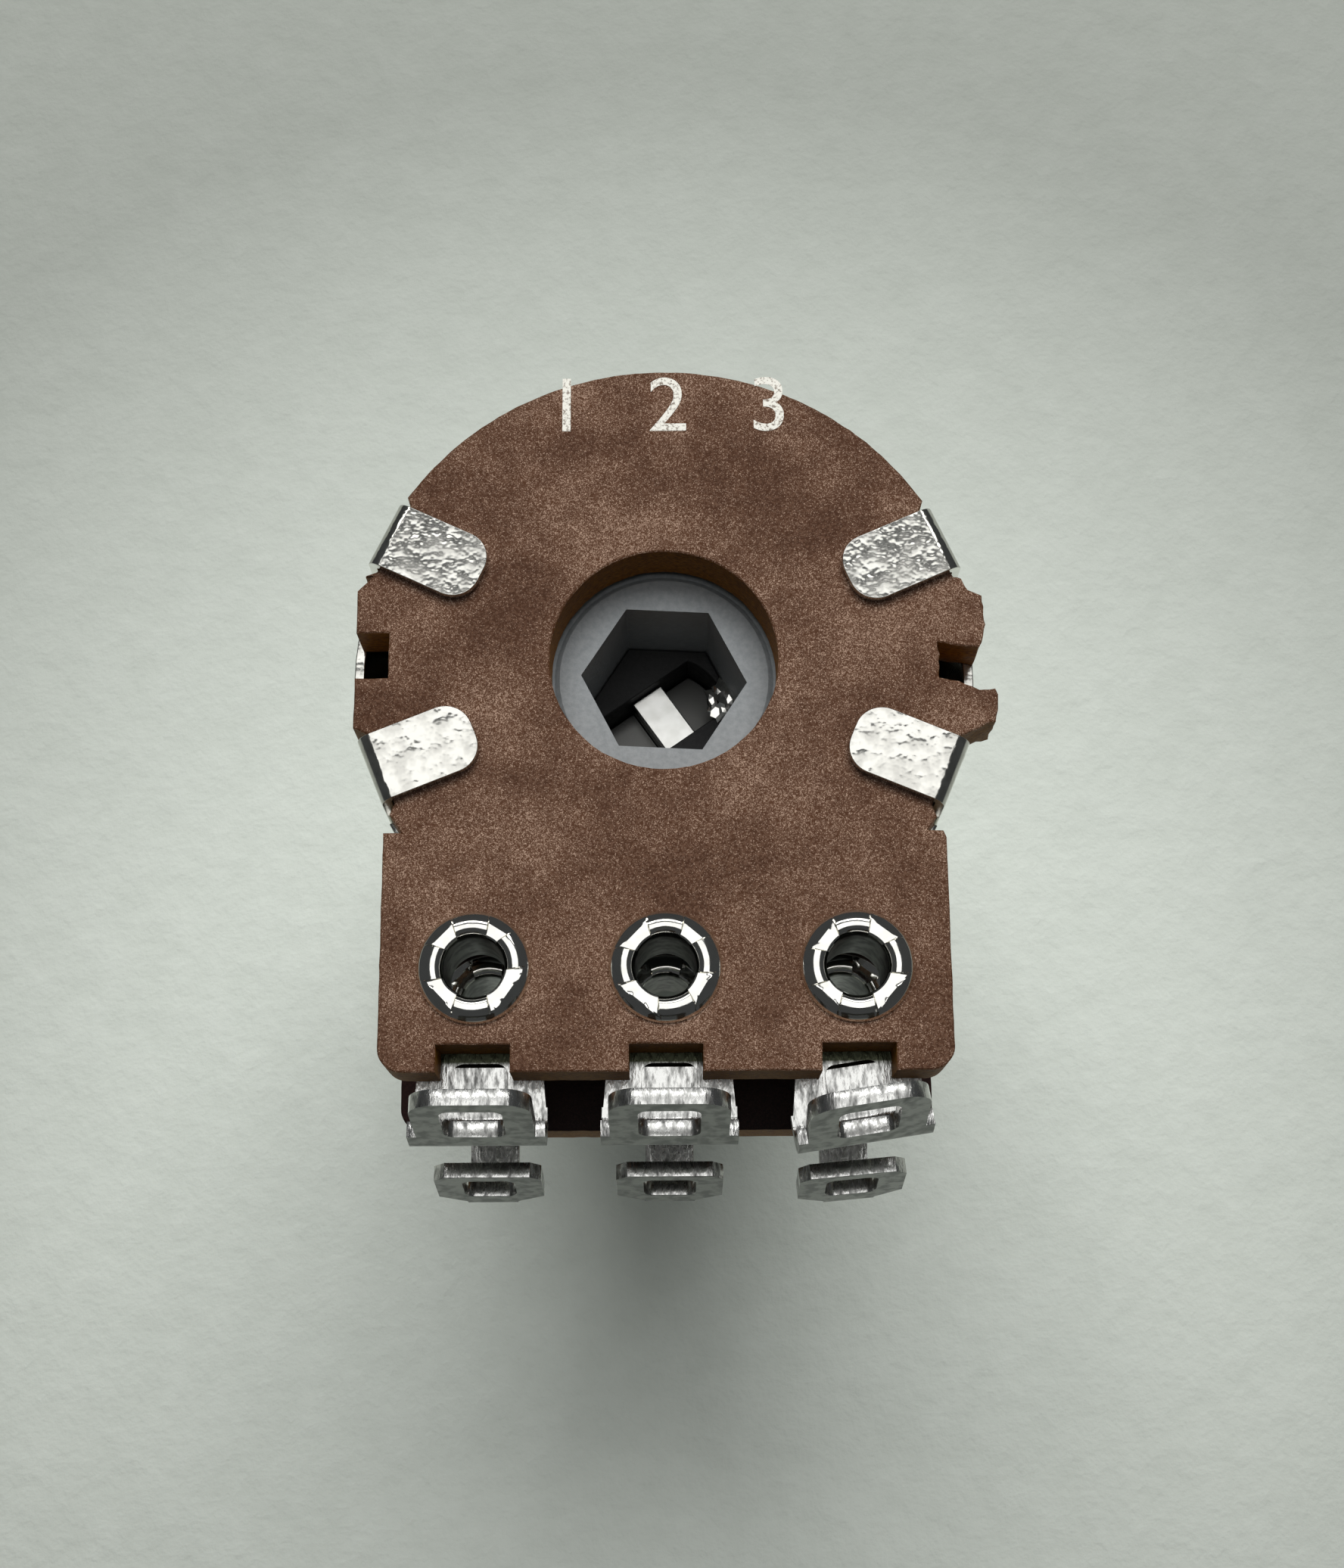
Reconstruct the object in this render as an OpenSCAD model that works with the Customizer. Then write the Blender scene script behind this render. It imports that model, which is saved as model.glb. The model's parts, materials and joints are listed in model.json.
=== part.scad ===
// Two-gang rotary potentiometer with an open back, in millimetres.
// The shaft axis is Z, and the mounting face of the bushing's flange lies in the plane z = 0.
// The shaft points down, to -Z, the open back faces up, and the terminals are on the -Y side.

/* [Wafers] */
// Thickness of each phenolic wafer
wafer_t = 1.6; // [1.4:0.05:1.8]
// Step from the housing's outside in to the round part of each wafer
wafer_step = 0.1; // [0.05:0.01:0.15]
// Distance from an outer eyelet's centre to the side of the terminal end
wafer_side = 2.47; // [2.2:0.01:2.6]
// Distance from the line of eyelets to the rear wafer's terminal edge
rear_edge_d = 2.73; // [2.5:0.01:3]
// Distance from the line of eyelets to the front wafer's terminal edge
front_edge_d = 3.57; // [3.3:0.01:3.8]
// Radius of the corners at the terminal end
corner_r = 0.65; // [0.3:0.05:1]
// Step from a wafer's round part in to the flat side of an ear
ear_step = 0.14; // [0.05:0.01:0.25]
// Width of the notch in each ear
ear_notch_w = 1.3; // [1:0.05:1.4]
// Depth of the notch in each ear
ear_notch_d = 0.9; // [0.6:0.05:1.1]
// Width of the notches over the lugs
lug_notch_w = 1.93; // [1.6:0.01:2.2]
// Depth of the notches over the lugs
lug_notch_d = 0.72; // [0.5:0.01:0.9]

/* [Gangs] */
// Distance between the two wafers, face to like face
gang_pitch = 5.6; // [5.5:0.05:6.2]
// Depth of the housing in front of the front wafer
front_depth = 4.1; // [4.1:0.05:4.8]

/* [Terminals] */
// Distance between neighbouring terminals
terminal_pitch = 5; // [4.9:0.05:5.2]
// Step from the housing's outside in to the line of eyelets
eyelet_step = 0.12; // [-0.1:0.01:0.2]
// Thickness of the lug sheet
lug_t = 0.43; // [0.35:0.01:0.5]
// Radius of a lug's round root about its eyelet
lug_root_r = 1.7; // [1.6:0.05:1.8]
// Inside radius of a lug's bend
lug_bend_r = 0.35; // [0.2:0.05:0.5]
// Width of a rear lug at its bend and shoulders
rear_lug_w = 3.57; // [3.2:0.01:3.8]
// Width of a rear lug's head above the shoulders
rear_head_w = 3.08; // [2.8:0.01:3.15]
// Height of a rear lug's shoulders above its bend
rear_shoulder_h = 0.65; // [0.5:0.05:0.9]
// Height of a rear lug's head above its bend
rear_head_h = 3.27; // [3:0.01:3.8]
// Width of the window in a rear lug's head
rear_window_w = 1.6; // [1.4:0.05:1.7]
// Distance from the rear wafer's terminal edge to the outside of the rear lugs' bends
rear_lug_d = 1.74; // [1.4:0.01:1.9]
// Lean of a rear lug towards the body, in degrees
rear_lean = 10.5; // [6:0.5:12]
// Width of the stamped rib that stiffens a rear lug's bend
rib_w = 1.45; // [1.2:0.05:1.6]
// Height of the rib
rib_h = 0.12; // [0.08:0.01:0.15]
// Distance from the end of the wafer's notch to the rib
rib_inset = 0.27; // [0.2:0.01:0.35]
// Width of a front lug's neck
front_neck_w = 1.43; // [1.2:0.01:1.7]
// Width of a front lug's head
front_head_w = 2.95; // [2.7:0.01:3.2]
// Height of a front lug's head above its bend
front_head_h = 2.5; // [2.3:0.05:2.8]
// Width of the window in a front lug's head
front_window_w = 1.45; // [1.2:0.05:1.6]
// Distance from the front wafer's terminal edge to the outside of the front lugs' bends
front_lug_d = 1.85; // [1.6:0.01:2.1]
// Lean of a front lug towards the body, in degrees
front_lean = 9.5; // [6:0.5:12]

/* [Eyelets] */
// Radius of an eyelet's bore
eyelet_bore_r = 0.8; // [0.7:0.01:0.85]
// Wall of an eyelet's tube
eyelet_wall = 0.2; // [0.12:0.01:0.25]
// Radius of an eyelet's rolled flange and of its flat head
eyelet_flange_r = 1.5; // [1.4:0.01:1.6]
// Height of the rolled flange's flattened pads over the wafer
eyelet_pad_h = 0.36; // [0.3:0.01:0.38]
// Height of an eyelet's flat head under the lug
eyelet_head_h = 0.3; // [0.2:0.01:0.35]

/* [Housing] */
// Outside radius of the housing and of the spacer cup
can_r = 8.6; // [8.56:0.01:8.7]
// Thickness of the housing's sheet
can_t = 0.28; // [0.2:0.01:0.3]
// Step from the housing's outside in to the outside of a strap
strap_step = 0.1; // [0.05:0.01:0.12]
// Width of a strap and its folded tab
strap_w = 1.9; // [1.6:0.05:2]
// Inside radius of a strap's fold
fold_r = 0.1; // [0.06:0.01:0.11]
// Length of a folded tab, from the strap's inside to its tip
tab_len = 2.72; // [2.3:0.02:3]
// Step from the housing's outside in to the outside of the locating tab
locator_step = 0.7; // [0.4:0.05:1.1]
// Width of the locating tab
locator_w = 2.5; // [2:0.1:3]
// Height of the locating tab in front of the mounting face
locator_h = 1.3; // [1:0.1:1.6]

/* [Rotors] */
// Outside radius of the rear rotor's end face
hub_r = 3.05; // [3:0.01:3.1]
// Radius of the rotors' journals in the front wafer
journal_r = 3.3; // [3.25:0.01:3.4]
// Size across the flats of the rear rotor's hexagonal socket
hex_af = 4; // [3.9:0.02:4.1]
// Turn of the hexagonal socket in the rest position, in degrees
hex_turn = -3; // [-30:1:30]
// Depth of the rear rotor's end face below the open back
hub_face_d = 1.75; // [1.75:0.05:1.85]
// Depth of the front rotor's hexagonal end below the open back
spigot_d = 5; // [4.8:0.05:5.2]
// Gap between a rotor's disc and the wall around it
disc_side_gap = 1.02; // [0.8:0.02:1.1]
// Thickness of a rotor's disc
disc_t = 0.7; // [0.6:0.05:0.8]
// Distance from a wafer's front face to the disc under it
disc_gap = 1.4; // [1.3:0.05:1.45]
// The rotor's turn to each side of its middle position, in degrees
half_turn = 150; // [135:1:150]

/* [Tracks] */
// Thickness of the printed films, as drawn
film_t = 0.1; // [0.06:0.01:0.12]
// Width of the collector's lead and of the track's legs
lead_w = 1.6; // [1.2:0.05:1.8]
// Thickness of the wiper's spring sheet
spring_t = 0.15; // [0.1:0.01:0.2]

/* [Bushing] */
// Outside diameter of the threaded barrel
thread_d = 7; // [6.9:0.01:7.1]
// Length of the threaded barrel
barrel_len = 6.5; // [5:0.5:8]
// Width of the bushing's flange around the barrel
flange_w = 1.7; // [1.3:0.1:1.9]
// Thickness of the bushing's flange
flange_t = 1; // [0.8:0.05:1.2]

/* [Shaft] */
// Diameter of the shaft
shaft_d = 6; // [5.9:0.01:6.1]
// Length of the shaft from the mounting face
shaft_len = 15; // [12:0.5:25]
// Step from the shaft's radius in to its journal in the bushing
shaft_step = 0.45; // [0.4:0.01:0.6]
// Chamfer of the shaft's end
shaft_chamfer = 0.5; // [0.2:0.1:0.8]
// Thickness of the shaft's flat tongue
tongue_t = 1.8; // [1.6:0.01:1.9]
// Width of the shaft's flat tongue
tongue_w = 3.5; // [3.2:0.05:3.55]
// Width of the raised ridge at the end of the tongue
ridge_w = 1.02; // [0.9:0.01:1.2]
// Height of the ridge over the rest of the tongue
ridge_h = 0.9; // [0.5:0.05:1.2]
// Depth of the ridge's end face below the open back
ridge_d = 5.5; // [5.3:0.05:5.6]
// Turn of the tongue's wide side in the rest position, in degrees
tongue_turn = 35; // [0:1:90]
// Thickness of the shaft's retaining clip
clip_t = 0.5; // [0.4:0.05:0.6]
// Width by which the retaining clip stands out round the shaft
clip_w = 1; // [0.8:0.05:1.3]

/* [Hidden] */
$fn = 64;

// Clearances, and the length by which a cutter passes through
turn_gap = 0.04;
seat_gap = 0.05;
hole_gap = 0.06;
contact_gap = 0.03;
strap_gap = 0.04;
strap_side_gap = 0.1;
tab_gap = 0.03;
eyelet_gap = 0.03;
cut = 1;

// Levels along the shaft axis, from the mounting face to the open back
plate_z = flange_t;
floor_z = plate_z + can_t;
front_face_z = floor_z + front_depth;
front_z = front_face_z + wafer_t;
rear_z = front_z + gang_pitch;
stake_h = 0.35;
land_h = 0.4;
clip_z = floor_z + stake_h + seat_gap;
land_z = clip_z + clip_t;
tongue_z = land_z + land_h;
spigot_z = rear_z - spigot_d;
shoulder_z = front_face_z + 0.2;
stop_low_z = floor_z + 0.7;

// Radii and distances that follow the housing's radius
can_in = can_r - can_t;
can_open_y = 0.616 * can_r;
wafer_r = can_r - wafer_step;
wafer_shoulder_y = 0.57 * wafer_r;
strap_in = can_r - strap_step - can_t;
strap_half_gap = strap_w / 2 + strap_side_gap;
wafer_flat = strap_in - strap_gap;
ear_x = wafer_r - ear_step;
tab_tip_r = strap_in - tab_len;
locator_y = can_r - locator_step;
disc_r = can_in - disc_side_gap;

// Places of the terminals' parts
wafer_half_w = terminal_pitch + wafer_side;
eyelet_y = can_r - eyelet_step;
rear_edge_y = eyelet_y + rear_edge_d;
front_edge_y = eyelet_y + front_edge_d;
rear_lug_y = rear_edge_y + rear_lug_d;
front_lug_y = front_edge_y + front_lug_d;

// Radii about the shaft
rear_hole_r = hub_r + hole_gap;
front_hole_r = journal_r + hole_gap;
cup_hole_r = front_hole_r + hole_gap;
collar_w = 0.36;
collar_r = journal_r + collar_w;
film_span = disc_r - collar_r;
track_r = collar_r + 0.7 * film_span;
track_w = 0.44 * film_span;
collector_r = collar_r + 0.2 * film_span;
collector_w = 0.24 * film_span;
tube_r = eyelet_bore_r + eyelet_wall;
lug_hole_r = tube_r + eyelet_gap;
barrel_r = thread_d / 2;
flange_r = barrel_r + flange_w;
neck_step = 0.2;
neck_r = barrel_r + neck_step;
stake_w = 0.5;
stake_r = barrel_r + stake_w;
shaft_r = shaft_d / 2;
shaft_journal_r = shaft_r - shaft_step;
groove_d = 0.5;
groove_r = shaft_journal_r - groove_d;
clip_r = shaft_r + clip_w;

// Where an ear starts and ends along Y, its upper corner, and the lower edge of its notch
ear_low = -0.288 * wafer_r;
ear_high = 0.282 * wafer_r;
ear_corner = 0.4;
ear_notch_low = -0.4 * ear_notch_w;

// Tab bent back from the housing's floor, and the front rotor's lug that meets it at both ends
// of the turn: half the lug's angle, the play left, the lug's radii, and the tab
stop_lug_turn = 10;
stop_play_turn = 0.8;
stop_in = 0.74 * disc_r;
stop_out = 0.97 * disc_r;
stop_tab_y = 0.84 * disc_r;
stop_tab_h = 1.8;
stop_half_w = (stop_tab_y - can_t) * tan(180 - half_turn - stop_lug_turn - stop_play_turn);

// Pegs that hold each wiper on its disc
peg_r = 0.4;
peg_x = (track_r + collector_r) / 2;
peg_h = 0.3;

// The four straps' directions, seen from the back, in degrees
strap_turns = [154.7, 202, 23.8, -23];
sides = [-1, 0, 1];
// Offset of the lugs to the right, the length of the flat stub at their bends,
// and the twist of the two right lugs in degrees
lug_shift = 0.08;
lug_stub = 0.25;
rear_twist = 8.5;
front_twist = 5;

phenolic = "#8a4a33";
carbon = "#232323";
silver_ink = "#b8b6b0";
tinned = "#b5b5ae";
nickel = "#c4c2b8";
steel = "#bab8ae";
grey_plastic = "#83878c";
black_plastic = "#1c1c1e";
bronze = "#a88455";
zinc = "#a3a29c";

// A flat ring between two radii, whose lower face is at z
module ring(r_out, r_in, h, z) {
    translate([0, 0, z]) difference() {
        cylinder(r = r_out, h = h);
        translate([0, 0, -cut]) cylinder(r = r_in, h = h + 2 * cut);
    }
}

// A rectangle centred on the Y axis, from y0 to y1
module strip(width, y0, y1) {
    translate([-width / 2, y0]) square([width, y1 - y0]);
}

// A rectangle with round corners, centred on the Y axis, from y0 to y1
module round_strip(width, y0, y1, r) {
    strip(width - 2 * r, y0, y1);
    strip(width, y0 + r, y1 - r);
    for (side = [-1, 1], y = [y0 + r, y1 - r])
        translate([side * (width / 2 - r), y]) circle(r = r, $fn = 32);
}

// Opening in a wafer's edge for one strap, wider towards the outside
module strap_opening() {
    reach = 2;
    polygon([[wafer_flat, -strap_half_gap], [wafer_flat + reach, -strap_half_gap - reach],
             [wafer_flat + reach, strap_half_gap + reach], [wafer_flat, strap_half_gap]]);
}

// Whole ear at the +X side of a wafer, with its square notch
module ear() {
    difference() {
        polygon([[0, ear_low], [ear_x, ear_low], [ear_x, ear_high - ear_corner],
                 [ear_x - ear_corner, ear_high], [0, ear_high]]);
        translate([ear_x - ear_notch_d, ear_notch_low]) square([ear_notch_d + cut, ear_notch_w]);
    }
}

// Broken right ear of the rear wafer, drawn from the foot of its notch:
// the lower part ends in a nib, and the upper part is a stub
module broken_ear() {
    notch_x = ear_x - ear_notch_d;
    notch_low = ear_notch_low - 0.1;
    notch_high = 0.45;
    translate([notch_x, 0]) polygon([[-notch_x, ear_low], [0.82, ear_low], [1.1, ear_low + 0.13],
        [1.13, ear_low + 0.39], [1.42, ear_low + 0.45], [1.55, ear_low + 1.17],
        [1.52, notch_low - 0.26], [1.04, notch_low - 0.31], [0.5, notch_low - 0.06],
        [0, notch_low], [0, notch_high], [1.1, notch_high - 0.18], [1.27, ear_high - 1.47],
        [1.22, ear_high - 0.6], [0.85, ear_high - 0.47], [0.6, ear_high], [-notch_x, ear_high]]);
}

// Terminal end of a wafer, with its two outer corners rounded
module terminal_end(edge_y) {
    inner_w = wafer_half_w - corner_r;
    strip(2 * inner_w, -edge_y, -wafer_shoulder_y);
    strip(2 * wafer_half_w, -edge_y + corner_r, -wafer_shoulder_y);
    for (side = [-1, 1]) translate([side * inner_w, -edge_y + corner_r])
        circle(r = corner_r, $fn = 40);
}

// Outline of a wafer, without its round holes
module wafer_outline(edge_y, broken) {
    difference() {
        union() {
            difference() {
                circle(r = wafer_r, $fn = 180);
                for (side = [-1, 1])
                    translate([side * (wafer_r + ear_x - ear_notch_d) - wafer_r, ear_low])
                        square([2 * wafer_r, ear_high - ear_low]);
            }
            mirror([1, 0]) ear();
            if (broken) broken_ear(); else ear();
            terminal_end(edge_y);
        }
        for (turn = strap_turns) rotate(turn) strap_opening();
        for (i = sides) translate([i * terminal_pitch, 0])
            strip(lug_notch_w, -edge_y - cut, -edge_y + lug_notch_d);
    }
}

// A wafer whose rear face is at z, with a centre hole of radius hole_r
module wafer(z, edge_y, hole_r, broken) {
    color(phenolic) translate([0, 0, z - wafer_t]) difference() {
        linear_extrude(wafer_t) wafer_outline(edge_y, broken);
        translate([0, 0, -cut]) {
            cylinder(r = hole_r, h = wafer_t + 2 * cut);
            for (i = sides) translate([i * terminal_pitch, -eyelet_y, 0])
                cylinder(r = lug_hole_r, h = wafer_t + 2 * cut, $fn = 48);
        }
    }
}

// Horseshoe of resistive film on the front face of the wafer at z, with legs to the outer lugs
module track(z) {
    leg_top = track_r / 2;
    color(carbon) translate([0, 0, z - wafer_t - film_t]) linear_extrude(film_t) difference() {
        union() {
            difference() {
                circle(r = track_r + track_w / 2, $fn = 120);
                circle(r = track_r - track_w / 2, $fn = 120);
                polygon([[0, 0], [-track_r, -2 * track_r], [track_r, -2 * track_r]]);
            }
            for (side = [-1, 1]) translate([side * terminal_pitch, 0])
                strip(lead_w, -eyelet_y, -leg_top);
        }
        for (side = [-1, 1]) translate([side * terminal_pitch, -eyelet_y])
            circle(r = lug_root_r + contact_gap);
    }
}

// Conductive ring on the front face of the wafer at z, with a lead to the middle lug
module collector(z) {
    color(silver_ink) translate([0, 0, z - wafer_t - film_t]) linear_extrude(film_t) difference() {
        union() {
            circle(r = collector_r + collector_w / 2, $fn = 96);
            strip(lead_w, -eyelet_y, -collector_r);
        }
        circle(r = collector_r - collector_w / 2, $fn = 96);
        translate([0, -eyelet_y]) circle(r = lug_root_r + contact_gap);
    }
}

// Lower corner of a lug's neck on one side, set a little inside the stub of the twisted bend
function neck_corner(side, half, length, twist) =
    [lug_shift + side * half * cos(twist) - lug_stub / 2 * sin(twist),
     -length + side * half * sin(twist) + lug_stub / 2 * cos(twist)];

// Flat part of a lug: round root on the eyelet, and a neck as far as the bend's stub
module lug_flat(neck_w, length, twist) {
    half = neck_w / 2 - contact_gap;
    start = min(half, 0.85 * lug_root_r);
    linear_extrude(lug_t) difference() {
        union() {
            circle(r = lug_root_r);
            polygon([[lug_shift - start, 0], neck_corner(-1, half, length, twist),
                     neck_corner(1, half, length, twist), [lug_shift + start, 0]]);
        }
        circle(r = lug_hole_r, $fn = 48);
    }
}

// Bend of a lug about the X axis, from its flat stub to upright and past it by the lean
module lug_bend(width, lean) {
    bend_out = lug_bend_r + lug_t;
    translate([-width / 2, 0, -bend_out]) cube([width, lug_stub, lug_t]);
    difference() {
        translate([-width / 2, 0, 0]) rotate([0, 90, 0]) cylinder(r = bend_out, h = width);
        translate([-width, 0, 0]) rotate([0, 90, 0]) cylinder(r = lug_bend_r, h = 2 * width);
        translate([-width, 0, -2 * bend_out]) cube([2 * width, 2 * bend_out, 4 * bend_out]);
        rotate([-lean, 0, 0]) translate([-width, -2 * bend_out, 0])
            cube([2 * width, 4 * bend_out, 2 * bend_out]);
    }
}

// Points along an arc of radius r about the origin, from one angle to another
function arc_points(r, start, end) =
    [for (k = [0:0.125:1]) r * [cos(start + (end - start) * k), sin(start + (end - start) * k)]];

// Point at distance r from the axis of a bend and height h up its leaning head, in side view
function bend_end(r, h, lean) =
    [h * sin(lean) - r * cos(lean), h * cos(lean) + r * sin(lean)];

// Rib on the inside of a rear lug's bend, from the neck in the notch to the head's foot
module lug_rib(lean) {
    end_r = 0.3;
    top_r = lug_bend_r - rib_h;
    low_r = lug_bend_r + lug_t / 4;
    run = rear_lug_y - lug_t - lug_bend_r - rear_edge_y + lug_notch_d - rib_inset;
    rise = 0.7 * rear_shoulder_h;
    over = arc_points(top_r, -90, -180 - lean);
    under = arc_points(low_r, -180 - lean, -90);
    intersection() {
        translate([-rib_w / 2, 0, 0]) rotate([90, 0, 90]) linear_extrude(rib_w)
            polygon(concat([[run, -low_r], [run, -lug_bend_r], [run - rib_h, -top_r]], over,
                [bend_end(top_r, rise - rib_h, lean), bend_end(lug_bend_r, rise, lean),
                 bend_end(low_r, rise, lean)], under));
        translate([0, 0, -2 * low_r]) linear_extrude(4 * low_r + rise)
            round_strip(rib_w, -2 * low_r, run, end_r);
    }
}

// Upright head of a lug, drawn as its outline, with its foot on the end of its bend
module lug_head(lean) {
    rotate([-lean, 0, 0]) translate([0, -lug_bend_r, 0]) rotate([90, 0, 0])
        linear_extrude(lug_t) children();
}

// Rounded window of a head, from height h0 to h1
module window(width, h0, h1) {
    round_strip(width, h0, h1, 0.3);
}

// Outline of a rear lug's head: broad shoulders, round top corners and a window
module rear_head() {
    top_r = 0.75;
    rim = 0.57;
    difference() {
        union() {
            strip(rear_lug_w, 0, rear_shoulder_h);
            round_strip(rear_head_w, -top_r, rear_head_h, top_r);
        }
        strip(2 * rear_lug_w, -2 * top_r, 0);
        window(rear_window_w, rear_shoulder_h, rear_head_h - rim);
    }
}

// Outline of a front lug's head: narrow foot, slanting shoulders and a window
module front_head() {
    half = front_head_w / 2;
    shoulder_h = 0.55;
    top_slant = 0.3;
    rim = 0.4;
    difference() {
        polygon([[-front_neck_w / 2, 0], [front_neck_w / 2, 0], [half, shoulder_h],
                 [half, front_head_h - top_slant], [half - top_slant, front_head_h],
                 [-half + top_slant, front_head_h], [-half, front_head_h - top_slant],
                 [-half, shoulder_h]]);
        window(front_window_w, shoulder_h, front_head_h - rim);
    }
}

// A whole rear or front lug on the front face of the wafer whose front face is at z
module lug(i, z, neck_w, lug_y, lean, twist, ribbed) {
    length = lug_y - lug_t - lug_bend_r - eyelet_y;
    translate([i * terminal_pitch, -eyelet_y, z - lug_t]) {
        lug_flat(neck_w, length, twist);
        translate([lug_shift, -length, lug_t + lug_bend_r]) rotate(twist) {
            lug_bend(neck_w, lean);
            lug_head(lean) children();
            if (ribbed) lug_rib(lean);
        }
    }
}

module rear_lug(i) {
    twist = i > 0 ? rear_twist : 0;
    color(tinned) lug(i, rear_z - wafer_t, rear_lug_w, rear_lug_y, rear_lean, twist, true)
        rear_head();
}

module front_lug(i) {
    twist = i > 0 ? front_twist : 0;
    color(tinned) lug(i, front_face_z, front_neck_w, front_lug_y, front_lean, twist, false)
        front_head();
}

// Section of an eyelet's rolled flange, cut level at height h
module roll_section(h) {
    roll_r = (eyelet_flange_r - eyelet_bore_r) / 2;
    foot_h = 0.08;
    intersection() {
        union() {
            translate([eyelet_bore_r + roll_r, foot_h]) circle(r = roll_r, $fn = 40);
            translate([eyelet_bore_r, 0]) square([2 * roll_r, foot_h]);
        }
        translate([eyelet_bore_r, 0]) square([2 * roll_r, h]);
    }
}

// An eyelet through the wafer at z and its lug: tube, flat head below, and a rolled flange
// above that a cross-shaped punch has left with four flat pads and four low saddles
module eyelet(i, z) {
    saddle_turn = 34;
    saddle_h = 0.24;
    overlap = 0.05;
    tube_h = wafer_t + lug_t;
    color(nickel) translate([i * terminal_pitch, -eyelet_y, z]) {
        ring(tube_r, eyelet_bore_r, tube_h + overlap, -tube_h);
        ring(eyelet_flange_r, eyelet_bore_r, eyelet_head_h, -tube_h - eyelet_head_h);
        for (k = [0:3]) rotate(90 * k) {
            rotate(saddle_turn / 2) rotate_extrude(angle = 90 - saddle_turn)
                roll_section(eyelet_pad_h);
            rotate(-saddle_turn / 2) rotate_extrude(angle = saddle_turn) roll_section(saddle_h);
        }
    }
}

// Open side of a round wall, on the terminal side, from z0 to z1
module open_side(z0, z1) {
    translate([-2 * can_r, -2 * can_r - can_open_y, z0]) cube([4 * can_r, 2 * can_r, z1 - z0]);
}

// The four straps' slots through a wall
module strap_slots(z0, z1) {
    for (turn = strap_turns) rotate(turn) translate([wafer_flat, -strap_half_gap, z0])
        cube([can_r, 2 * strap_half_gap, z1 - z0]);
}

// Spacer cup between the two wafers, open on the terminal side
module rear_cup() {
    height = gang_pitch - wafer_t;
    color(steel) difference() {
        union() {
            ring(can_r, can_in, height, front_z);
            ring(can_r, cup_hole_r, can_t, front_z);
        }
        open_side(front_z - cut, rear_z);
        strap_slots(front_z - cut, rear_z);
    }
}

// One strap from the housing's wall to the open back, with its tab folded over the wafer
module strap() {
    foot_z = floor_z + can_t;
    bend_z = rear_z + tab_gap - fold_r;
    bend_x = strap_in - fold_r;
    tip_r = 0.75;
    translate([strap_in, -strap_w / 2, foot_z]) cube([can_t, strap_w, bend_z - foot_z]);
    translate([bend_x, 0, bend_z]) rotate([90, 0, 0]) translate([0, 0, -strap_w / 2])
        rotate_extrude(angle = 90) translate([fold_r, 0]) square([can_t, strap_w]);
    translate([0, 0, rear_z + tab_gap]) linear_extrude(can_t) intersection() {
        translate([tab_tip_r, 0]) rotate(-90) round_strip(strap_w, 0, bend_x, tip_r);
        translate([tab_tip_r, -strap_w]) square([bend_x - tab_tip_r, 2 * strap_w]);
    }
}

// Folded steel housing: floor, wall open on the terminal side, straps, locator and stop
module housing() {
    wall_h = front_face_z - plate_z;
    window_len = 2.3;
    stop_window_len = 1.6;
    locator_top = plate_z + can_t / 2;
    color(steel) {
        difference() {
            union() {
                ring(can_r, can_in, wall_h, plate_z);
                ring(can_r, neck_r + turn_gap / 2, can_t, plate_z);
            }
            open_side(floor_z, rear_z);
            translate([-locator_w / 2, locator_y - can_t - window_len, plate_z - cut])
                cube([locator_w, window_len, can_t + 2 * cut]);
            translate([-stop_half_w, -stop_tab_y - stop_window_len, plate_z - cut])
                cube([2 * stop_half_w, stop_window_len, can_t + 2 * cut]);
        }
        for (turn = strap_turns) rotate(turn) strap();
        translate([-locator_w / 2, locator_y - can_t, -locator_h])
            cube([locator_w, can_t, locator_top + locator_h]);
        translate([-stop_half_w, -stop_tab_y, plate_z])
            cube([2 * stop_half_w, can_t, stop_tab_h]);
    }
}

// Grey rotor of the rear gang, with a hexagonal socket right through its hub
module rear_rotor() {
    face_z = rear_z - hub_face_d;
    disc_z = rear_z - wafer_t - disc_gap;
    foot_z = shoulder_z + seat_gap;
    chamfer = 0.14;
    color(grey_plastic) {
        difference() {
            rotate_extrude($fn = 96) polygon([[0, foot_z], [journal_r, foot_z],
                [journal_r, disc_z - disc_t], [disc_r, disc_z - disc_t], [disc_r, disc_z],
                [collar_r, disc_z],
                [collar_r, face_z - chamfer], [hub_r, face_z - chamfer], [hub_r - chamfer, face_z],
                [0, face_z]]);
            rotate(hex_turn) translate([0, 0, foot_z - cut])
                cylinder(r = hex_af / 2 / cos(30), h = rear_z, $fn = 6);
        }
        wiper_pegs(disc_z);
    }
}

// Outline of the shaft's tongue or of its slot, wider by gap on every side
module tongue_outline(gap) {
    rotate(tongue_turn) intersection() {
        circle(r = tongue_w / 2 + gap);
        square([tongue_w + 4 * gap, tongue_t + 2 * gap], center = true);
    }
}

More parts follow.
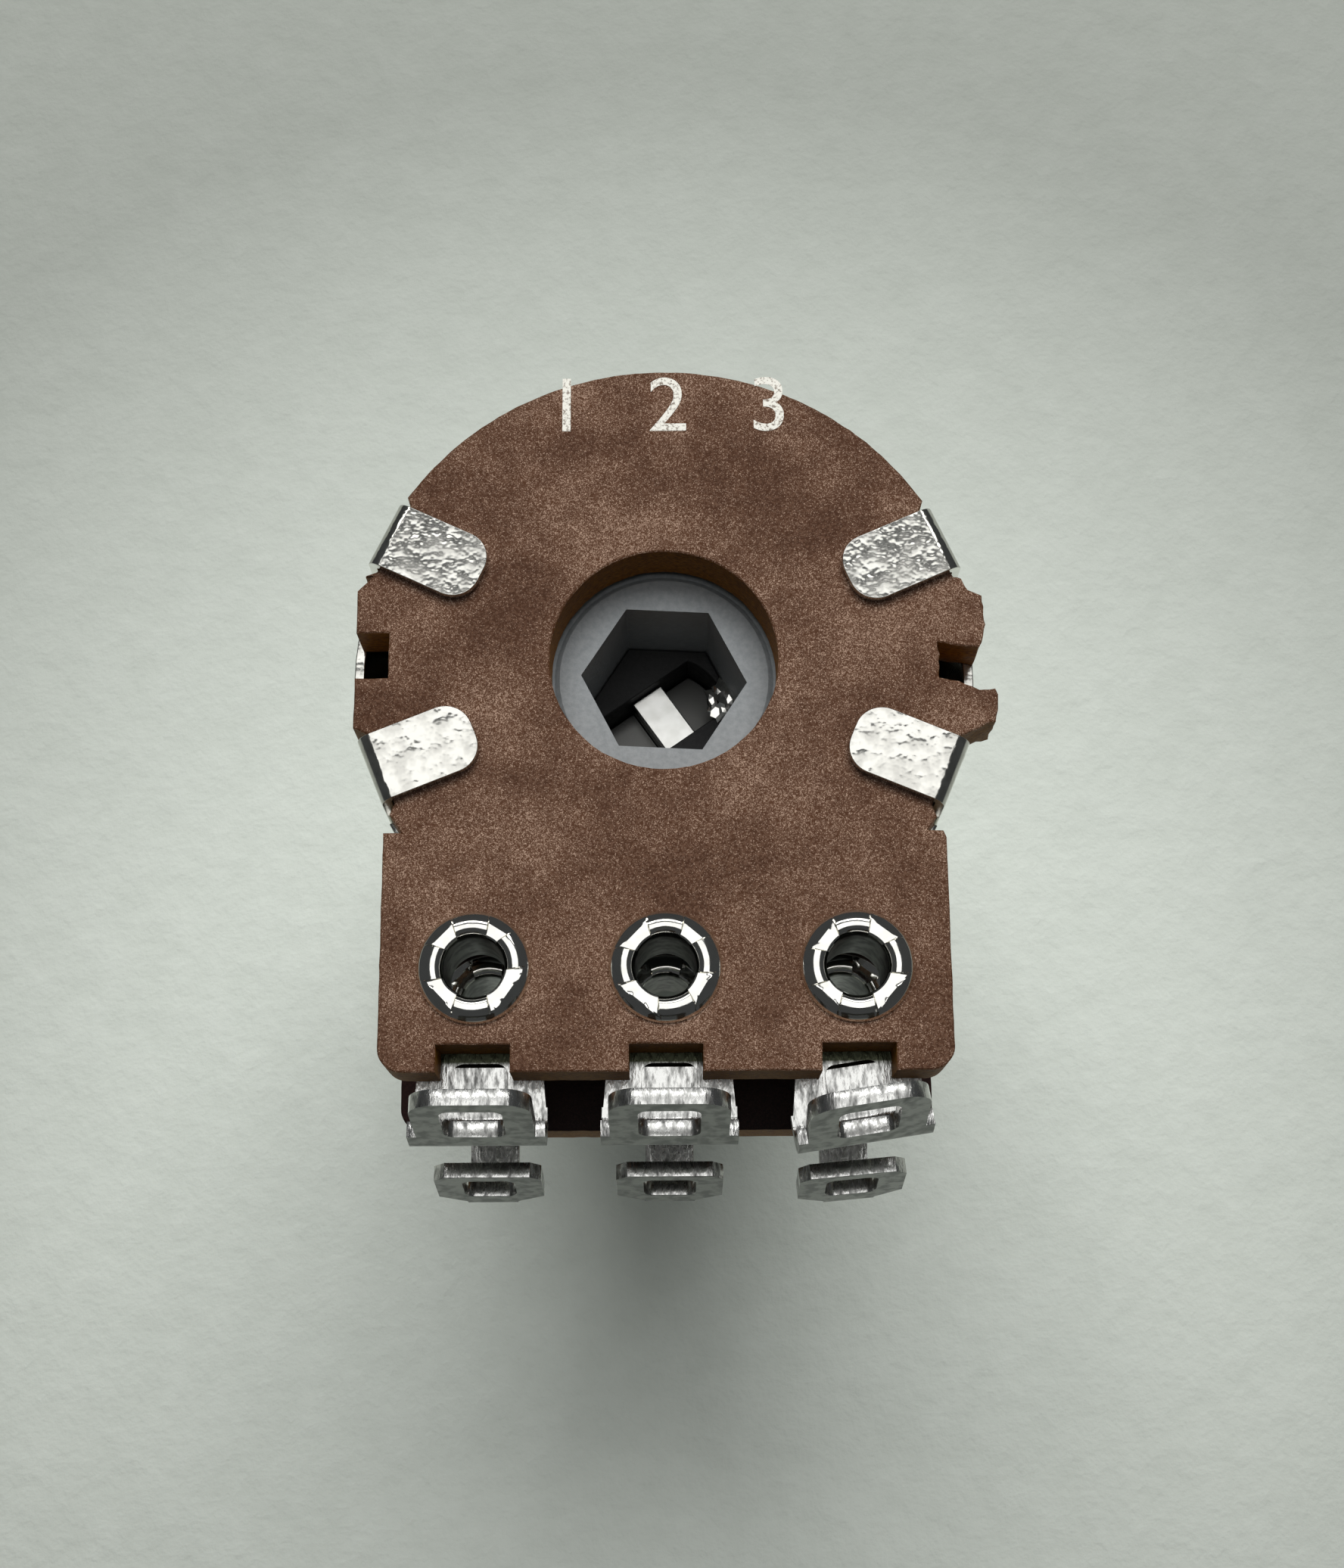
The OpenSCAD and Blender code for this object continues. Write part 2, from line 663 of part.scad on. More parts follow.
// Black rotor of the front gang. Its hexagonal end drives the rear rotor, and a lug stops it.
module front_rotor() {
    disc_z = front_face_z - disc_gap;
    hub_low = tongue_z + seat_gap;
    collar_h = 0.9;
    color(black_plastic) difference() {
        union() {
            translate([0, 0, hub_low]) cylinder(r = journal_r, h = shoulder_z - hub_low);
            translate([0, 0, disc_z - disc_t]) cylinder(r = disc_r, h = disc_t, $fn = 96);
            translate([0, 0, disc_z - disc_t]) cylinder(r = collar_r, h = disc_t + collar_h);
            rotate(hex_turn) translate([0, 0, hub_low])
                cylinder(r = (hex_af / 2 - turn_gap) / cos(30), h = spigot_z - hub_low, $fn = 6);
            rotate(90 - stop_lug_turn) translate([0, 0, stop_low_z])
                rotate_extrude(angle = 2 * stop_lug_turn)
                    translate([stop_in, 0]) square([stop_out - stop_in, disc_z - stop_low_z]);
            wiper_pegs(disc_z);
        }
        translate([0, 0, hub_low - cut]) linear_extrude(rear_z) tongue_outline(turn_gap);
    }
}

// The two pegs that hold a wiper on its disc, whose rear face is at disc_z
module wiper_pegs(disc_z) {
    for (side = [-1, 1]) translate([side * peg_x, 0, disc_z - disc_t / 2])
        cylinder(r = peg_r, h = disc_t / 2 + peg_h, $fn = 32);
}

// Side view of a contact finger that rises from the disc to the film, with the tip at x = 0
module finger_side(rise) {
    run = collector_r - 1.1;
    foot = 0.6;
    nose = 0.45;
    dip = 0.1;
    polygon([[-run - foot, 0], [-run, 0], [-nose, rise - spring_t - dip], [0, rise - spring_t],
             [nose, rise - spring_t - dip], [nose, rise - dip], [0, rise], [-nose, rise - dip],
             [-run, spring_t], [-run - foot, spring_t]]);
}

// One contact finger that runs along X at distance r from the axis
module finger(r, width, rise) {
    translate([0, r + width / 2, 0]) rotate([90, 0, 0]) linear_extrude(width) finger_side(rise);
}

// Spring wiper on the rear face of a disc at disc_z: a ring, its ears, and two pairs of fingers
module wiper(disc_z) {
    rise = disc_gap - film_t - contact_gap;
    finger_w = 0.15 * film_span;
    split = 0.1 * film_span;
    ring_w = 0.55;
    ear_out = peg_x + 0.7;
    ear_w = 1.8;
    arm_x = -collector_r;
    arm_w = 1.1;
    arm_side = 2 * split + finger_w / 2;
    color(bronze) translate([0, 0, disc_z]) {
        linear_extrude(spring_t) difference() {
            union() {
                circle(r = collar_r + turn_gap + ring_w);
                square([2 * ear_out, ear_w], center = true);
                translate([arm_x, 0]) square([arm_w, track_r + arm_side]);
                translate([arm_x, -collector_r - arm_side]) square([arm_w, collector_r]);
            }
            circle(r = collar_r + turn_gap);
            for (side = [-1, 1]) translate([side * peg_x, 0])
                circle(r = peg_r + contact_gap, $fn = 32);
        }
        for (side = [-1, 1]) {
            finger(track_r + side * split, finger_w, rise);
            finger(-collector_r + side * split, finger_w, rise);
        }
    }
}

// Turned bushing: threaded barrel, flange, and a neck staked over the housing's floor
module bushing() {
    chamfer = 0.4;
    stake_taper = 0.15;
    bore_r = shaft_journal_r + turn_gap;
    stake_z = floor_z + stake_h;
    color(zinc) rotate_extrude($fn = 96) polygon([[bore_r, -barrel_len],
        [barrel_r - chamfer, -barrel_len], [barrel_r, -barrel_len + chamfer], [barrel_r, 0],
        [flange_r, 0], [flange_r, plate_z], [neck_r, plate_z], [neck_r, floor_z],
        [stake_r, floor_z], [stake_r - stake_taper, stake_z], [bore_r, stake_z]]);
}

// Shaft with a journal, a clip groove, a flat tongue and the ridge at its end
module shaft() {
    tongue_end = rear_z - ridge_d - ridge_h;
    journal_z = -barrel_len - seat_gap;
    color(nickel) {
        rotate_extrude($fn = 96) polygon([[0, -shaft_len], [shaft_r - shaft_chamfer, -shaft_len],
            [shaft_r, -shaft_len + shaft_chamfer], [shaft_r, journal_z],
            [shaft_journal_r, journal_z], [shaft_journal_r, clip_z], [groove_r, clip_z],
            [groove_r, land_z], [shaft_journal_r, land_z], [shaft_journal_r, tongue_z],
            [0, tongue_z]]);
        translate([0, 0, tongue_z - land_h / 2])
            linear_extrude(tongue_end - tongue_z + land_h / 2) tongue_outline(0);
        translate([0, 0, tongue_end - land_h]) linear_extrude(ridge_h + land_h) intersection() {
            tongue_outline(0);
            rotate(tongue_turn) square([ridge_w, 2 * tongue_t], center = true);
        }
    }
}

// Open spring clip in the shaft's groove
module shaft_clip() {
    inner_r = groove_r + turn_gap;
    mouth_w = 1.6 * groove_r;
    ear_in = clip_r - 0.9;
    ear_w = 1.2;
    color(steel) translate([0, 0, clip_z]) linear_extrude(clip_t - seat_gap) difference() {
        circle(r = clip_r);
        difference() {
            circle(r = ear_in);
            for (turn = [90, 210, 330]) rotate(turn) translate([0, -ear_w / 2])
                square([ear_in, ear_w]);
        }
        circle(r = inner_r);
        rotate(30) translate([0, -mouth_w / 2]) square([2 * clip_r, mouth_w]);
    }
}

wafer(rear_z, rear_edge_y, rear_hole_r, true);  // rear_wafer
track(rear_z);  // rear_track
collector(rear_z);  // rear_collector
rear_lug(-1);  // rear_lug_left
rear_lug(0);  // rear_lug_middle
rear_lug(1);  // rear_lug_right
eyelet(-1, rear_z);  // rear_eyelet_left
eyelet(0, rear_z);  // rear_eyelet_middle
eyelet(1, rear_z);  // rear_eyelet_right
rear_cup();
rear_rotor();
wiper(rear_z - wafer_t - disc_gap);  // rear_wiper
wafer(front_z, front_edge_y, front_hole_r, false);  // front_wafer
track(front_z);  // front_track
collector(front_z);  // front_collector
front_lug(-1);  // front_lug_left
front_lug(0);  // front_lug_middle
front_lug(1);  // front_lug_right
eyelet(-1, front_z);  // front_eyelet_left
eyelet(0, front_z);  // front_eyelet_middle
eyelet(1, front_z);  // front_eyelet_right
housing();
front_rotor();
wiper(front_face_z - disc_gap);  // front_wiper
bushing();
shaft();
shaft_clip();
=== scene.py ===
# %% [markdown]
# # A two-gang rotary potentiometer, seen from its open back
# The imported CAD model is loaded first. It fixes every size and place in metres, with the shaft along
# Z and the open back facing up. Everything below only dresses it: softened edges, small formed
# details and procedural materials.

# %% Load the frame
import json
import math
import bmesh
import bpy
from mathutils import Matrix, Vector, noise


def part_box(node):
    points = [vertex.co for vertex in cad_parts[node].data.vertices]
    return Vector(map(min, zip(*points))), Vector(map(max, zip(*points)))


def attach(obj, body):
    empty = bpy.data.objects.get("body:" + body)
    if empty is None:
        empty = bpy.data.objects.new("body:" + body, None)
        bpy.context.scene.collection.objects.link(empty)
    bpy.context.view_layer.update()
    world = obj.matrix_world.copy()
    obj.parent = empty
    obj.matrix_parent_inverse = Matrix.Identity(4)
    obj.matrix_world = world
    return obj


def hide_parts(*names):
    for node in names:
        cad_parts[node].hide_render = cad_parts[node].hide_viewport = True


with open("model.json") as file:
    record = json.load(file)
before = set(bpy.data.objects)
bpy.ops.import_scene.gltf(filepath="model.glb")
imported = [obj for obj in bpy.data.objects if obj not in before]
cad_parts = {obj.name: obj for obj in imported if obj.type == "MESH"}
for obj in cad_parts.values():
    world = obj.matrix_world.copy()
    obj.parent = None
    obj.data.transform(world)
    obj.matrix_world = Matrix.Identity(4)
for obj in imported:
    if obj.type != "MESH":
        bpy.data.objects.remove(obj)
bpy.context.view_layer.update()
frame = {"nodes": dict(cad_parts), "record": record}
nodes = frame["nodes"]
MM = 0.001
REAR_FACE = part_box("rear_wafer")[1][2]
FLOOR_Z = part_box("shaft")[0][2]
# Vector noise takes its offsets from this seed, and from the clock without it
noise.seed_set(1)
print("nodes:", len(nodes), "rear face at", round(REAR_FACE / MM, 3), "mm")

# %% [markdown]
# The camera stands where the photographer's phone did: about 6 cm above the open back and a little
# towards the terminals, looking down 16 degrees off the shaft's axis. A lens of 51 mm on a 36 mm
# high sensor gives the same perspective.

# %% Camera
scene = bpy.context.scene
pitch, yaw, roll = math.radians(15.67), math.radians(0.18), math.radians(-0.33)
look = Vector((0, math.sin(pitch), -math.cos(pitch)))
up = Vector((0, math.cos(pitch), math.sin(pitch)))
right = Vector((1, 0, 0))
look, right = (math.cos(yaw) * look + math.sin(yaw) * right,
               math.cos(yaw) * right - math.sin(yaw) * look)
right, up = (math.cos(roll) * right + math.sin(roll) * up,
             math.cos(roll) * up - math.sin(roll) * right)
camera_data = bpy.data.cameras.new("camera")
camera_data.sensor_fit = "VERTICAL"
camera_data.sensor_height = 36
camera_data.lens = 51.45
camera_data.clip_start = 0.002
camera = bpy.data.objects.new("camera", camera_data)
turn = Matrix((right, up, -look)).transposed().to_4x4()
camera.matrix_world = Matrix.Translation(Vector((0.01, -19.68, 70.13)) * MM) @ turn
scene.collection.objects.link(camera)
scene.camera = camera
scene.view_settings.view_transform = "Standard"
print("camera at", [round(c / MM, 2) for c in camera.location], "mm")

# %% [markdown]
# The part stands on the end of its shaft on pale grey paper. A soft window behind it throws the
# shadow towards the terminals, and a wide dim lamp fills. The metal mirrors a pale ceiling and the
# bright strip of sky at the top of the window, in an otherwise dark room, so the window's own lamp
# and the fill don't show in reflections.

# %% Lights
def area_lamp(name, direction, distance, width, height, power):
    data = bpy.data.lights.new(name, "AREA")
    data.shape = "RECTANGLE"
    data.size, data.size_y = width, height
    data.energy = power
    lamp = bpy.data.objects.new(name, data)
    toward = Vector(direction).normalized()
    lamp.location = toward * distance
    lamp.rotation_euler = toward.to_track_quat("Z", "Y").to_euler()
    scene.collection.objects.link(lamp)
    return lamp


tilt, strip_tilt = math.radians(30), math.radians(34)
window = area_lamp("window", (0.02, math.sin(tilt), math.cos(tilt)), 0.40, 0.35, 0.23, 1.45)
sky = area_lamp("sky", (0.02, math.sin(strip_tilt), math.cos(strip_tilt)), 0.42, 0.35, 0.10, 0.30)
fill = area_lamp("fill", (0.0, 0.1, 1.0), 0.50, 0.60, 0.40, 0.20)
ceiling = area_lamp("ceiling", (0.0, 0.05, 1.0), 0.32, 0.22, 0.20, 0.17)
for lamp in (window, fill):
    lamp.visible_glossy = False
world = bpy.data.worlds.new("world")
scene.world = world
world.use_nodes = True
world.node_tree.nodes["Background"].inputs["Color"].default_value = (0.93, 0.97, 1.0, 1)
world.node_tree.nodes["Background"].inputs["Strength"].default_value = 0.05
print("lamps:", window.name, sky.name, fill.name, ceiling.name)

# %% [markdown]
# Patterns that several finishes share are node groups: flecks of paper fibre, scuffs and dents on
# soft plated metal, and a fine grain. Each group is built once with named sockets, and reads the
# object's own coordinates, so that a pattern stays on its piece from every side.

# %% Helpers for node groups
def new_group(name, inputs, outputs):
    tree = bpy.data.node_groups.new(name, "ShaderNodeTree")
    for label, kind, value in inputs:
        socket = tree.interface.new_socket(name=label, in_out="INPUT", socket_type=kind)
        socket.default_value = value
    for label, kind in outputs:
        tree.interface.new_socket(name=label, in_out="OUTPUT", socket_type=kind)
    return tree, tree.nodes.new("NodeGroupInput"), tree.nodes.new("NodeGroupOutput")


def add_node(tree, kind, links=(), **settings):
    node = tree.nodes.new(kind)
    for label, value in settings.items():
        setattr(node, label, value)
    for socket, source in links:
        if isinstance(source, bpy.types.NodeSocket):
            tree.links.new(source, node.inputs[socket])
        else:
            node.inputs[socket].default_value = source
    return node


def maths(tree, operation, a, b):
    return add_node(tree, "ShaderNodeMath", [(0, a), (1, b)], operation=operation).outputs[0]


def step_between(tree, value, low, high, out_low=0.0, out_high=1.0):
    links = [("Value", value), ("From Min", low), ("From Max", high),
             ("To Min", out_low), ("To Max", out_high)]
    return add_node(tree, "ShaderNodeMapRange", links, clamp=True).outputs["Result"]


def noise_node(tree, coords, scale, detail, roughness, **settings):
    links = [("Vector", coords), ("Scale", scale), ("Detail", detail), ("Roughness", roughness)]
    return add_node(tree, "ShaderNodeTexNoise", links, **settings)


def object_place(tree):
    return add_node(tree, "ShaderNodeTexCoord").outputs["Object"]


def object_axis(tree, axis):
    links = [("Vector", object_place(tree))]
    return add_node(tree, "ShaderNodeSeparateXYZ", links).outputs[axis]


# %% Flecks: short bright curls of fibre in a paper laminate
flecks, inside, outside = new_group(
    "flecks", [("Size", "NodeSocketFloat", 0.15), ("Width", "NodeSocketFloat", 0.05)],
    [("Fleck", "NodeSocketFloat"), ("Mottle", "NodeSocketFloat"), ("Cloud", "NodeSocketFloat")])
coords = object_place(flecks)
scale = maths(flecks, "DIVIDE", 1000.0, inside.outputs["Size"])
CLOUD_SCALE = 420.0
cloud = noise_node(flecks, coords, CLOUD_SCALE, 3.0, 0.6)
mottle = noise_node(flecks, coords, scale, 3.0, 0.7)
# Two sets of curls, the second read from another place in the same noise
curls = None
for shift in (0.0, 0.013):
    moved = add_node(flecks, "ShaderNodeVectorMath", [(0, coords), (1, (shift, shift, 0))],
                     operation="ADD").outputs[0]
    bend = noise_node(flecks, moved, scale, 1.0, 0.5)
    bend.inputs["Distortion"].default_value = 0.6
    gate = noise_node(flecks, moved, maths(flecks, "MULTIPLY", scale, 2.4), 1.0, 0.5)
    off_line = maths(flecks, "ABSOLUTE", maths(flecks, "SUBTRACT", bend.outputs["Fac"], 0.5), 0.0)
    line = step_between(flecks, off_line, 0.0, inside.outputs["Width"], 1.0, 0.0)
    open_gate = maths(flecks, "ADD", gate.outputs["Fac"],
                      maths(flecks, "MULTIPLY", cloud.outputs["Fac"], 0.5))
    curl = maths(flecks, "MULTIPLY", line, step_between(flecks, open_gate, 0.77, 0.90))
    curls = maths(flecks, "MAXIMUM", curls, curl) if curls else curl
flecks.links.new(curls, outside.inputs["Fleck"])
flecks.links.new(mottle.outputs["Fac"], outside.inputs["Mottle"])
flecks.links.new(cloud.outputs["Fac"], outside.inputs["Cloud"])

# %% Scuffs: small dents, rubbed patches and hairline scratches on plated metal
scuffs, inside, outside = new_group(
    "scuffs", [("Dent Size", "NodeSocketFloat", 0.5), ("Wear", "NodeSocketFloat", 0.5)],
    [("Rubbed", "NodeSocketFloat"), ("Height", "NodeSocketFloat")])
coords = object_place(scuffs)
scale = maths(scuffs, "DIVIDE", 1000.0, inside.outputs["Dent Size"])
dents = noise_node(scuffs, coords, scale, 2.0, 0.5)
SCRATCH_SCALE = 900.0
lines = noise_node(scuffs, coords, SCRATCH_SCALE, 5.0, 0.8, noise_type="RIDGED_MULTIFRACTAL",
                   normalize=True)
lines.inputs["Distortion"].default_value = 2.5
rubbed = step_between(scuffs, dents.outputs["Fac"], 0.42, 0.62)
rubbed = maths(scuffs, "MULTIPLY", rubbed, inside.outputs["Wear"])
scratch = step_between(scuffs, lines.outputs["Fac"], 0.72, 0.86)
scratch = maths(scuffs, "MULTIPLY", scratch, inside.outputs["Wear"])
height = maths(scuffs, "SUBTRACT", dents.outputs["Fac"], maths(scuffs, "MULTIPLY", scratch, 0.3))
scuffs.links.new(rubbed, outside.inputs["Rubbed"])
scuffs.links.new(height, outside.inputs["Height"])

# %% Grain: an even fine texture, for moulded and cut surfaces
grain, inside, outside = new_group(
    "grain", [("Size", "NodeSocketFloat", 0.1), ("Stretch", "NodeSocketVector", (1, 1, 1))],
    [("Value", "NodeSocketFloat")])
stretched = add_node(grain, "ShaderNodeVectorMath",
                     [(0, object_place(grain)), (1, inside.outputs["Stretch"])],
                     operation="MULTIPLY").outputs[0]
scale = maths(grain, "DIVIDE", 1000.0, inside.outputs["Size"])
specks = noise_node(grain, stretched, scale, 3.0, 0.65)
grain.links.new(specks.outputs["Fac"], outside.inputs["Value"])
print("node groups:", [g.name for g in bpy.data.node_groups])

# %% [markdown]
# Every material is one Principled shader. Constants such as the metallic weight are set on its own
# sockets, and only what changes over the surface comes through a link: colour, roughness and the
# height of a Bump node.

# %% Helpers for materials
def new_material(name, metallic=0.0, roughness=0.5, specular=0.5):
    material = bpy.data.materials.new(name)
    material.use_nodes = True
    tree = material.node_tree
    shader = tree.nodes["Principled BSDF"]
    shader.inputs["Metallic"].default_value = metallic
    shader.inputs["Roughness"].default_value = roughness
    shader.inputs["Specular IOR Level"].default_value = specular
    return material, tree, shader


def use_group(tree, group, **values):
    node = tree.nodes.new("ShaderNodeGroup")
    node.node_tree = group
    for label, value in values.items():
        node.inputs[label.replace("_", " ")].default_value = value
    return node


def mix_colours(tree, factor, a, b):
    node = tree.nodes.new("ShaderNodeMix")
    node.data_type = "RGBA"
    tree.links.new(factor, node.inputs["Factor"])
    for slot, colour in ((6, a), (7, b)):
        if isinstance(colour, bpy.types.NodeSocket):
            tree.links.new(colour, node.inputs[slot])
        else:
            node.inputs[slot].default_value = (*colour, 1)
    return node.outputs[2]


def bump(tree, shader, height, distance):
    node = add_node(tree, "ShaderNodeBump", [("Height", height), ("Distance", distance * MM),
                                             ("Strength", 1.0)])
    tree.links.new(node.outputs["Normal"], shader.inputs["Normal"])


# %% Paper laminate: the two boards' faces
def laminate(name, dark, light, speck, fibre):
    material, tree, shader = new_material(name, roughness=0.55, specular=0.25)
    pattern = use_group(tree, flecks, Size=0.08, Width=0.07)
    warm = step_between(tree, pattern.outputs["Cloud"], 0.35, 0.65)
    ground = mix_colours(tree, warm, dark, light)
    # The speckle is a little stronger towards the terminals, a painted sheen that makes the board
    # lighter there
    along = object_axis(tree, "Y")
    speckle = maths(tree, "ADD", pattern.outputs["Mottle"],
                    step_between(tree, along, 7 * MM, -10 * MM, -0.02, 0.03))
    speckle = step_between(tree, speckle, 0.46, 0.68)
    ground = mix_colours(tree, speckle, ground, speck)
    tree.links.new(mix_colours(tree, pattern.outputs["Fleck"], ground, fibre),
                   shader.inputs["Base Color"])
    bump(tree, shader, pattern.outputs["Mottle"], 0.010)
    return material


board_face = laminate("board_face", (0.052, 0.019, 0.007), (0.082, 0.032, 0.0125),
                      (0.122, 0.062, 0.036), (0.46, 0.32, 0.235))
# The front board's laminate is nearly black: painted shade for its face under the rear board
shade_dark_face = laminate("shade_dark_face", (0.010, 0.002, 0.001), (0.015, 0.003, 0.002),
                     (0.022, 0.006, 0.004), (0.035, 0.014, 0.010))

# %% The boards' cut edges
board_edge, tree, shader = new_material("board_edge", roughness=0.6, specular=0.2)
fibre = use_group(tree, grain, Size=0.12)
fibre.inputs["Stretch"].default_value = (1, 1, 2.5)
tone = step_between(tree, fibre.outputs["Value"], 0.35, 0.65)
tree.links.new(mix_colours(tree, tone, (0.13, 0.048, 0.006), (0.34, 0.145, 0.016)),
               shader.inputs["Base Color"])
bump(tree, shader, fibre.outputs["Value"], 0.03)
print("made", board_face.name, shade_dark_face.name, board_edge.name)


# %% Plated metals
def plated(name, dark, light, roughness, rubbed_roughness, dent_size, dent_depth, wear):
    material, tree, shader = new_material(name, metallic=1.0)
    marks = use_group(tree, scuffs, Dent_Size=dent_size, Wear=wear)
    colour = mix_colours(tree, marks.outputs["Rubbed"], light, dark)
    tree.links.new(colour, shader.inputs["Base Color"])
    rough = step_between(tree, marks.outputs["Rubbed"], 0, 1, roughness, rubbed_roughness)
    tree.links.new(rough, shader.inputs["Roughness"])
    bump(tree, shader, marks.outputs["Height"], dent_depth)
    return material


nickel_sheet = plated("nickel_sheet", (0.60, 0.59, 0.55), (0.78, 0.77, 0.72),
                      0.14, 0.24, 0.5, 0.006, 0.5)
struck_nickel = plated("struck_nickel", (0.52, 0.51, 0.47), (0.82, 0.81, 0.75),
                       0.11, 0.20, 0.42, 0.030, 0.6)
bright_nickel = plated("bright_nickel", (0.74, 0.73, 0.68), (0.86, 0.85, 0.80),
                       0.08, 0.16, 0.35, 0.006, 0.5)
# Tin darkened as painted shade, for the lugs' flat faces and the walls of the eyelets' bores
shade_dark_tin = plated("shade_dark_tin", (0.11, 0.115, 0.11), (0.23, 0.235, 0.22),
                  0.30, 0.42, 0.32, 0.010, 0.7)
zinc_casting = plated("zinc_casting", (0.46, 0.46, 0.44), (0.54, 0.54, 0.51),
                      0.34, 0.44, 0.2, 0.010, 0.5)
print("made", nickel_sheet.name, struck_nickel.name, bright_nickel.name, shade_dark_tin.name,
      zinc_casting.name)

# %% Sheared edges of the lugs: bright tin with fine strokes of the punch across the sheet
cut_tin, tree, shader = new_material("cut_tin", metallic=1.0)
strokes = use_group(tree, grain, Size=0.17)
strokes.inputs["Stretch"].default_value = (1, 0.30, 0.45)
worn = step_between(tree, strokes.outputs["Value"], 0.32, 0.56)
colour = mix_colours(tree, worn, (0.22, 0.22, 0.21), (0.78, 0.78, 0.75))
# The neck is painted dark as shade where it comes out from under the wall of the wafer's notch
NOTCH_D = 0.72
notch_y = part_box("rear_wafer")[0][1] + NOTCH_D * MM
painted_shade = step_between(tree, object_axis(tree, "Y"), notch_y - 0.36 * MM, notch_y - 0.22 * MM)
tree.links.new(mix_colours(tree, painted_shade, colour, (0.055, 0.060, 0.038)),
               shader.inputs["Base Color"])
tree.links.new(step_between(tree, worn, 0, 1, 0.42, 0.22), shader.inputs["Roughness"])
bump(tree, shader, strokes.outputs["Value"], 0.02)

# %% Turned shaft, with fine lathe rings round its axis
turned_steel, tree, shader = new_material("turned_steel", metallic=1.0)
rings = use_group(tree, grain, Size=0.18)
rings.inputs["Stretch"].default_value = (0.02, 0.02, 1)
marks = use_group(tree, scuffs, Dent_Size=0.5, Wear=0.4)
colour = mix_colours(tree, marks.outputs["Rubbed"], (0.92, 0.92, 0.88), (0.62, 0.62, 0.57))
# Inside the can the shaft is painted dark as shade, and only the top of its ridge keeps the bright
# metal colour
depth = object_axis(tree, "Z")
ridge_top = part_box("shaft")[1][2]
deep_shade = maths(tree, "MULTIPLY", step_between(tree, depth, -0.5 * MM, 0.5 * MM),
                step_between(tree, depth, ridge_top - 0.2 * MM, ridge_top - 0.12 * MM, 1.0, 0.0))
tree.links.new(mix_colours(tree, deep_shade, colour, (0.10, 0.10, 0.095)),
               shader.inputs["Base Color"])
tree.links.new(step_between(tree, rings.outputs["Value"], 0.3, 0.7, 0.2, 0.36),
               shader.inputs["Roughness"])
bump(tree, shader, rings.outputs["Value"], 0.01)

# %% Spring bronze for the hidden wipers
spring_bronze = plated("spring_bronze", (0.42, 0.26, 0.12), (0.62, 0.42, 0.20),
                       0.2, 0.32, 0.4, 0.006, 0.5)


# %% Moulded plastics and printed films
def moulded(name, dark, light, roughness, size, depth):
    material, tree, shader = new_material(name, roughness=roughness)
    texture = use_group(tree, grain, Size=size)
    tone = step_between(tree, texture.outputs["Value"], 0.35, 0.65)
    tree.links.new(mix_colours(tree, tone, dark, light), shader.inputs["Base Color"])
    tree.links.new(step_between(tree, tone, 0, 1, roughness - 0.05, roughness + 0.08),
                   shader.inputs["Roughness"])
    bump(tree, shader, texture.outputs["Value"], depth)
    return material


hub_plastic = moulded("hub_plastic", (0.20, 0.215, 0.22), (0.255, 0.27, 0.275),
                      0.5, 0.16, 0.012)
dark_plastic = moulded("dark_plastic", (0.003, 0.003, 0.003), (0.006, 0.006, 0.006),
                       0.6, 0.1, 0.008)
carbon_film = moulded("carbon_film", (0.012, 0.012, 0.012), (0.03, 0.03, 0.03),
                      0.6, 0.06, 0.005)
silver_film = moulded("silver_film", (0.50, 0.49, 0.45), (0.66, 0.65, 0.60),
                      0.4, 0.05, 0.006)
print("made", hub_plastic.name, dark_plastic.name, carbon_film.name, silver_film.name)

# %% [markdown]
# A CAD solid has mathematically sharp edges, which never catch the light. A punched or moulded
# piece has small rounded ones. So the visible solids are copied, their triangles are merged back
# into flat faces, and the sharp edges get a narrow bevel. A weighted normal keeps the flats flat.
# A second material, where there is one, goes on the faces that look up, and on a lug on those that
# look sideways too: the hammered tops of the tabs, and the sheared edges and clean neck of a lug.

# %% Softened copies of the CAD solids
SHARP_ANGLE = math.radians(32)
FLAT_ANGLE = math.radians(0.8)


def welded_mesh(node):
    bm = bmesh.new()
    bm.from_mesh(nodes[node].data)
    bmesh.ops.remove_doubles(bm, verts=bm.verts[:], dist=0.0005 * MM)
    return bm


def merged_mesh(node):
    bm = welded_mesh(node)
    bmesh.ops.dissolve_limit(bm, angle_limit=FLAT_ANGLE, use_dissolve_boundaries=False,
                             verts=bm.verts[:], edges=bm.edges[:])
    return bm


def bevel_sharp(bm, width, segments):
    sharp = [e for e in bm.edges
             if len(e.link_faces) == 2 and e.calc_face_angle(0) > SHARP_ANGLE]
    bmesh.ops.bevel(bm, geom=sharp, offset=width * MM, offset_type="OFFSET", segments=segments,
                    profile=0.5, affect="EDGES", clamp_overlap=True, material=-1)
    return len(sharp)


def body_of_node(node):
    for body, names in frame["record"]["behaviour"]["bodies"].items():
        if node in names:
            return body


def join_frame(piece, node):
    scene.collection.objects.link(piece)
    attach(piece, body_of_node(node))


def finish_piece(bm, node, materials, smooth_angle=34):
    mesh = bpy.data.meshes.new(node + "_piece")
    bm.to_mesh(mesh)
    bm.free()
    piece = bpy.data.objects.new(node + "_piece", mesh)
    for material in materials:
        mesh.materials.append(material)
    mesh.shade_smooth()
    mesh.set_sharp_from_angle(angle=math.radians(smooth_angle))
    normals = piece.modifiers.new("even normals", "WEIGHTED_NORMAL")
    normals.keep_sharp = True
    join_frame(piece, node)
    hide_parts(node)
    return piece


def softened(node, materials, width, segments=2, sides=False):
    bm = merged_mesh(node)
    count = bevel_sharp(bm, width, segments)
    for face in bm.faces:
        struck = face.normal.z > 0.75 or (sides and abs(face.normal.x) > 0.6)
        face.material_index = int(struck and len(materials) > 1)
    piece = finish_piece(bm, node, materials)
    print(node, "edges softened:", count, "faces:", len(piece.data.polygons))


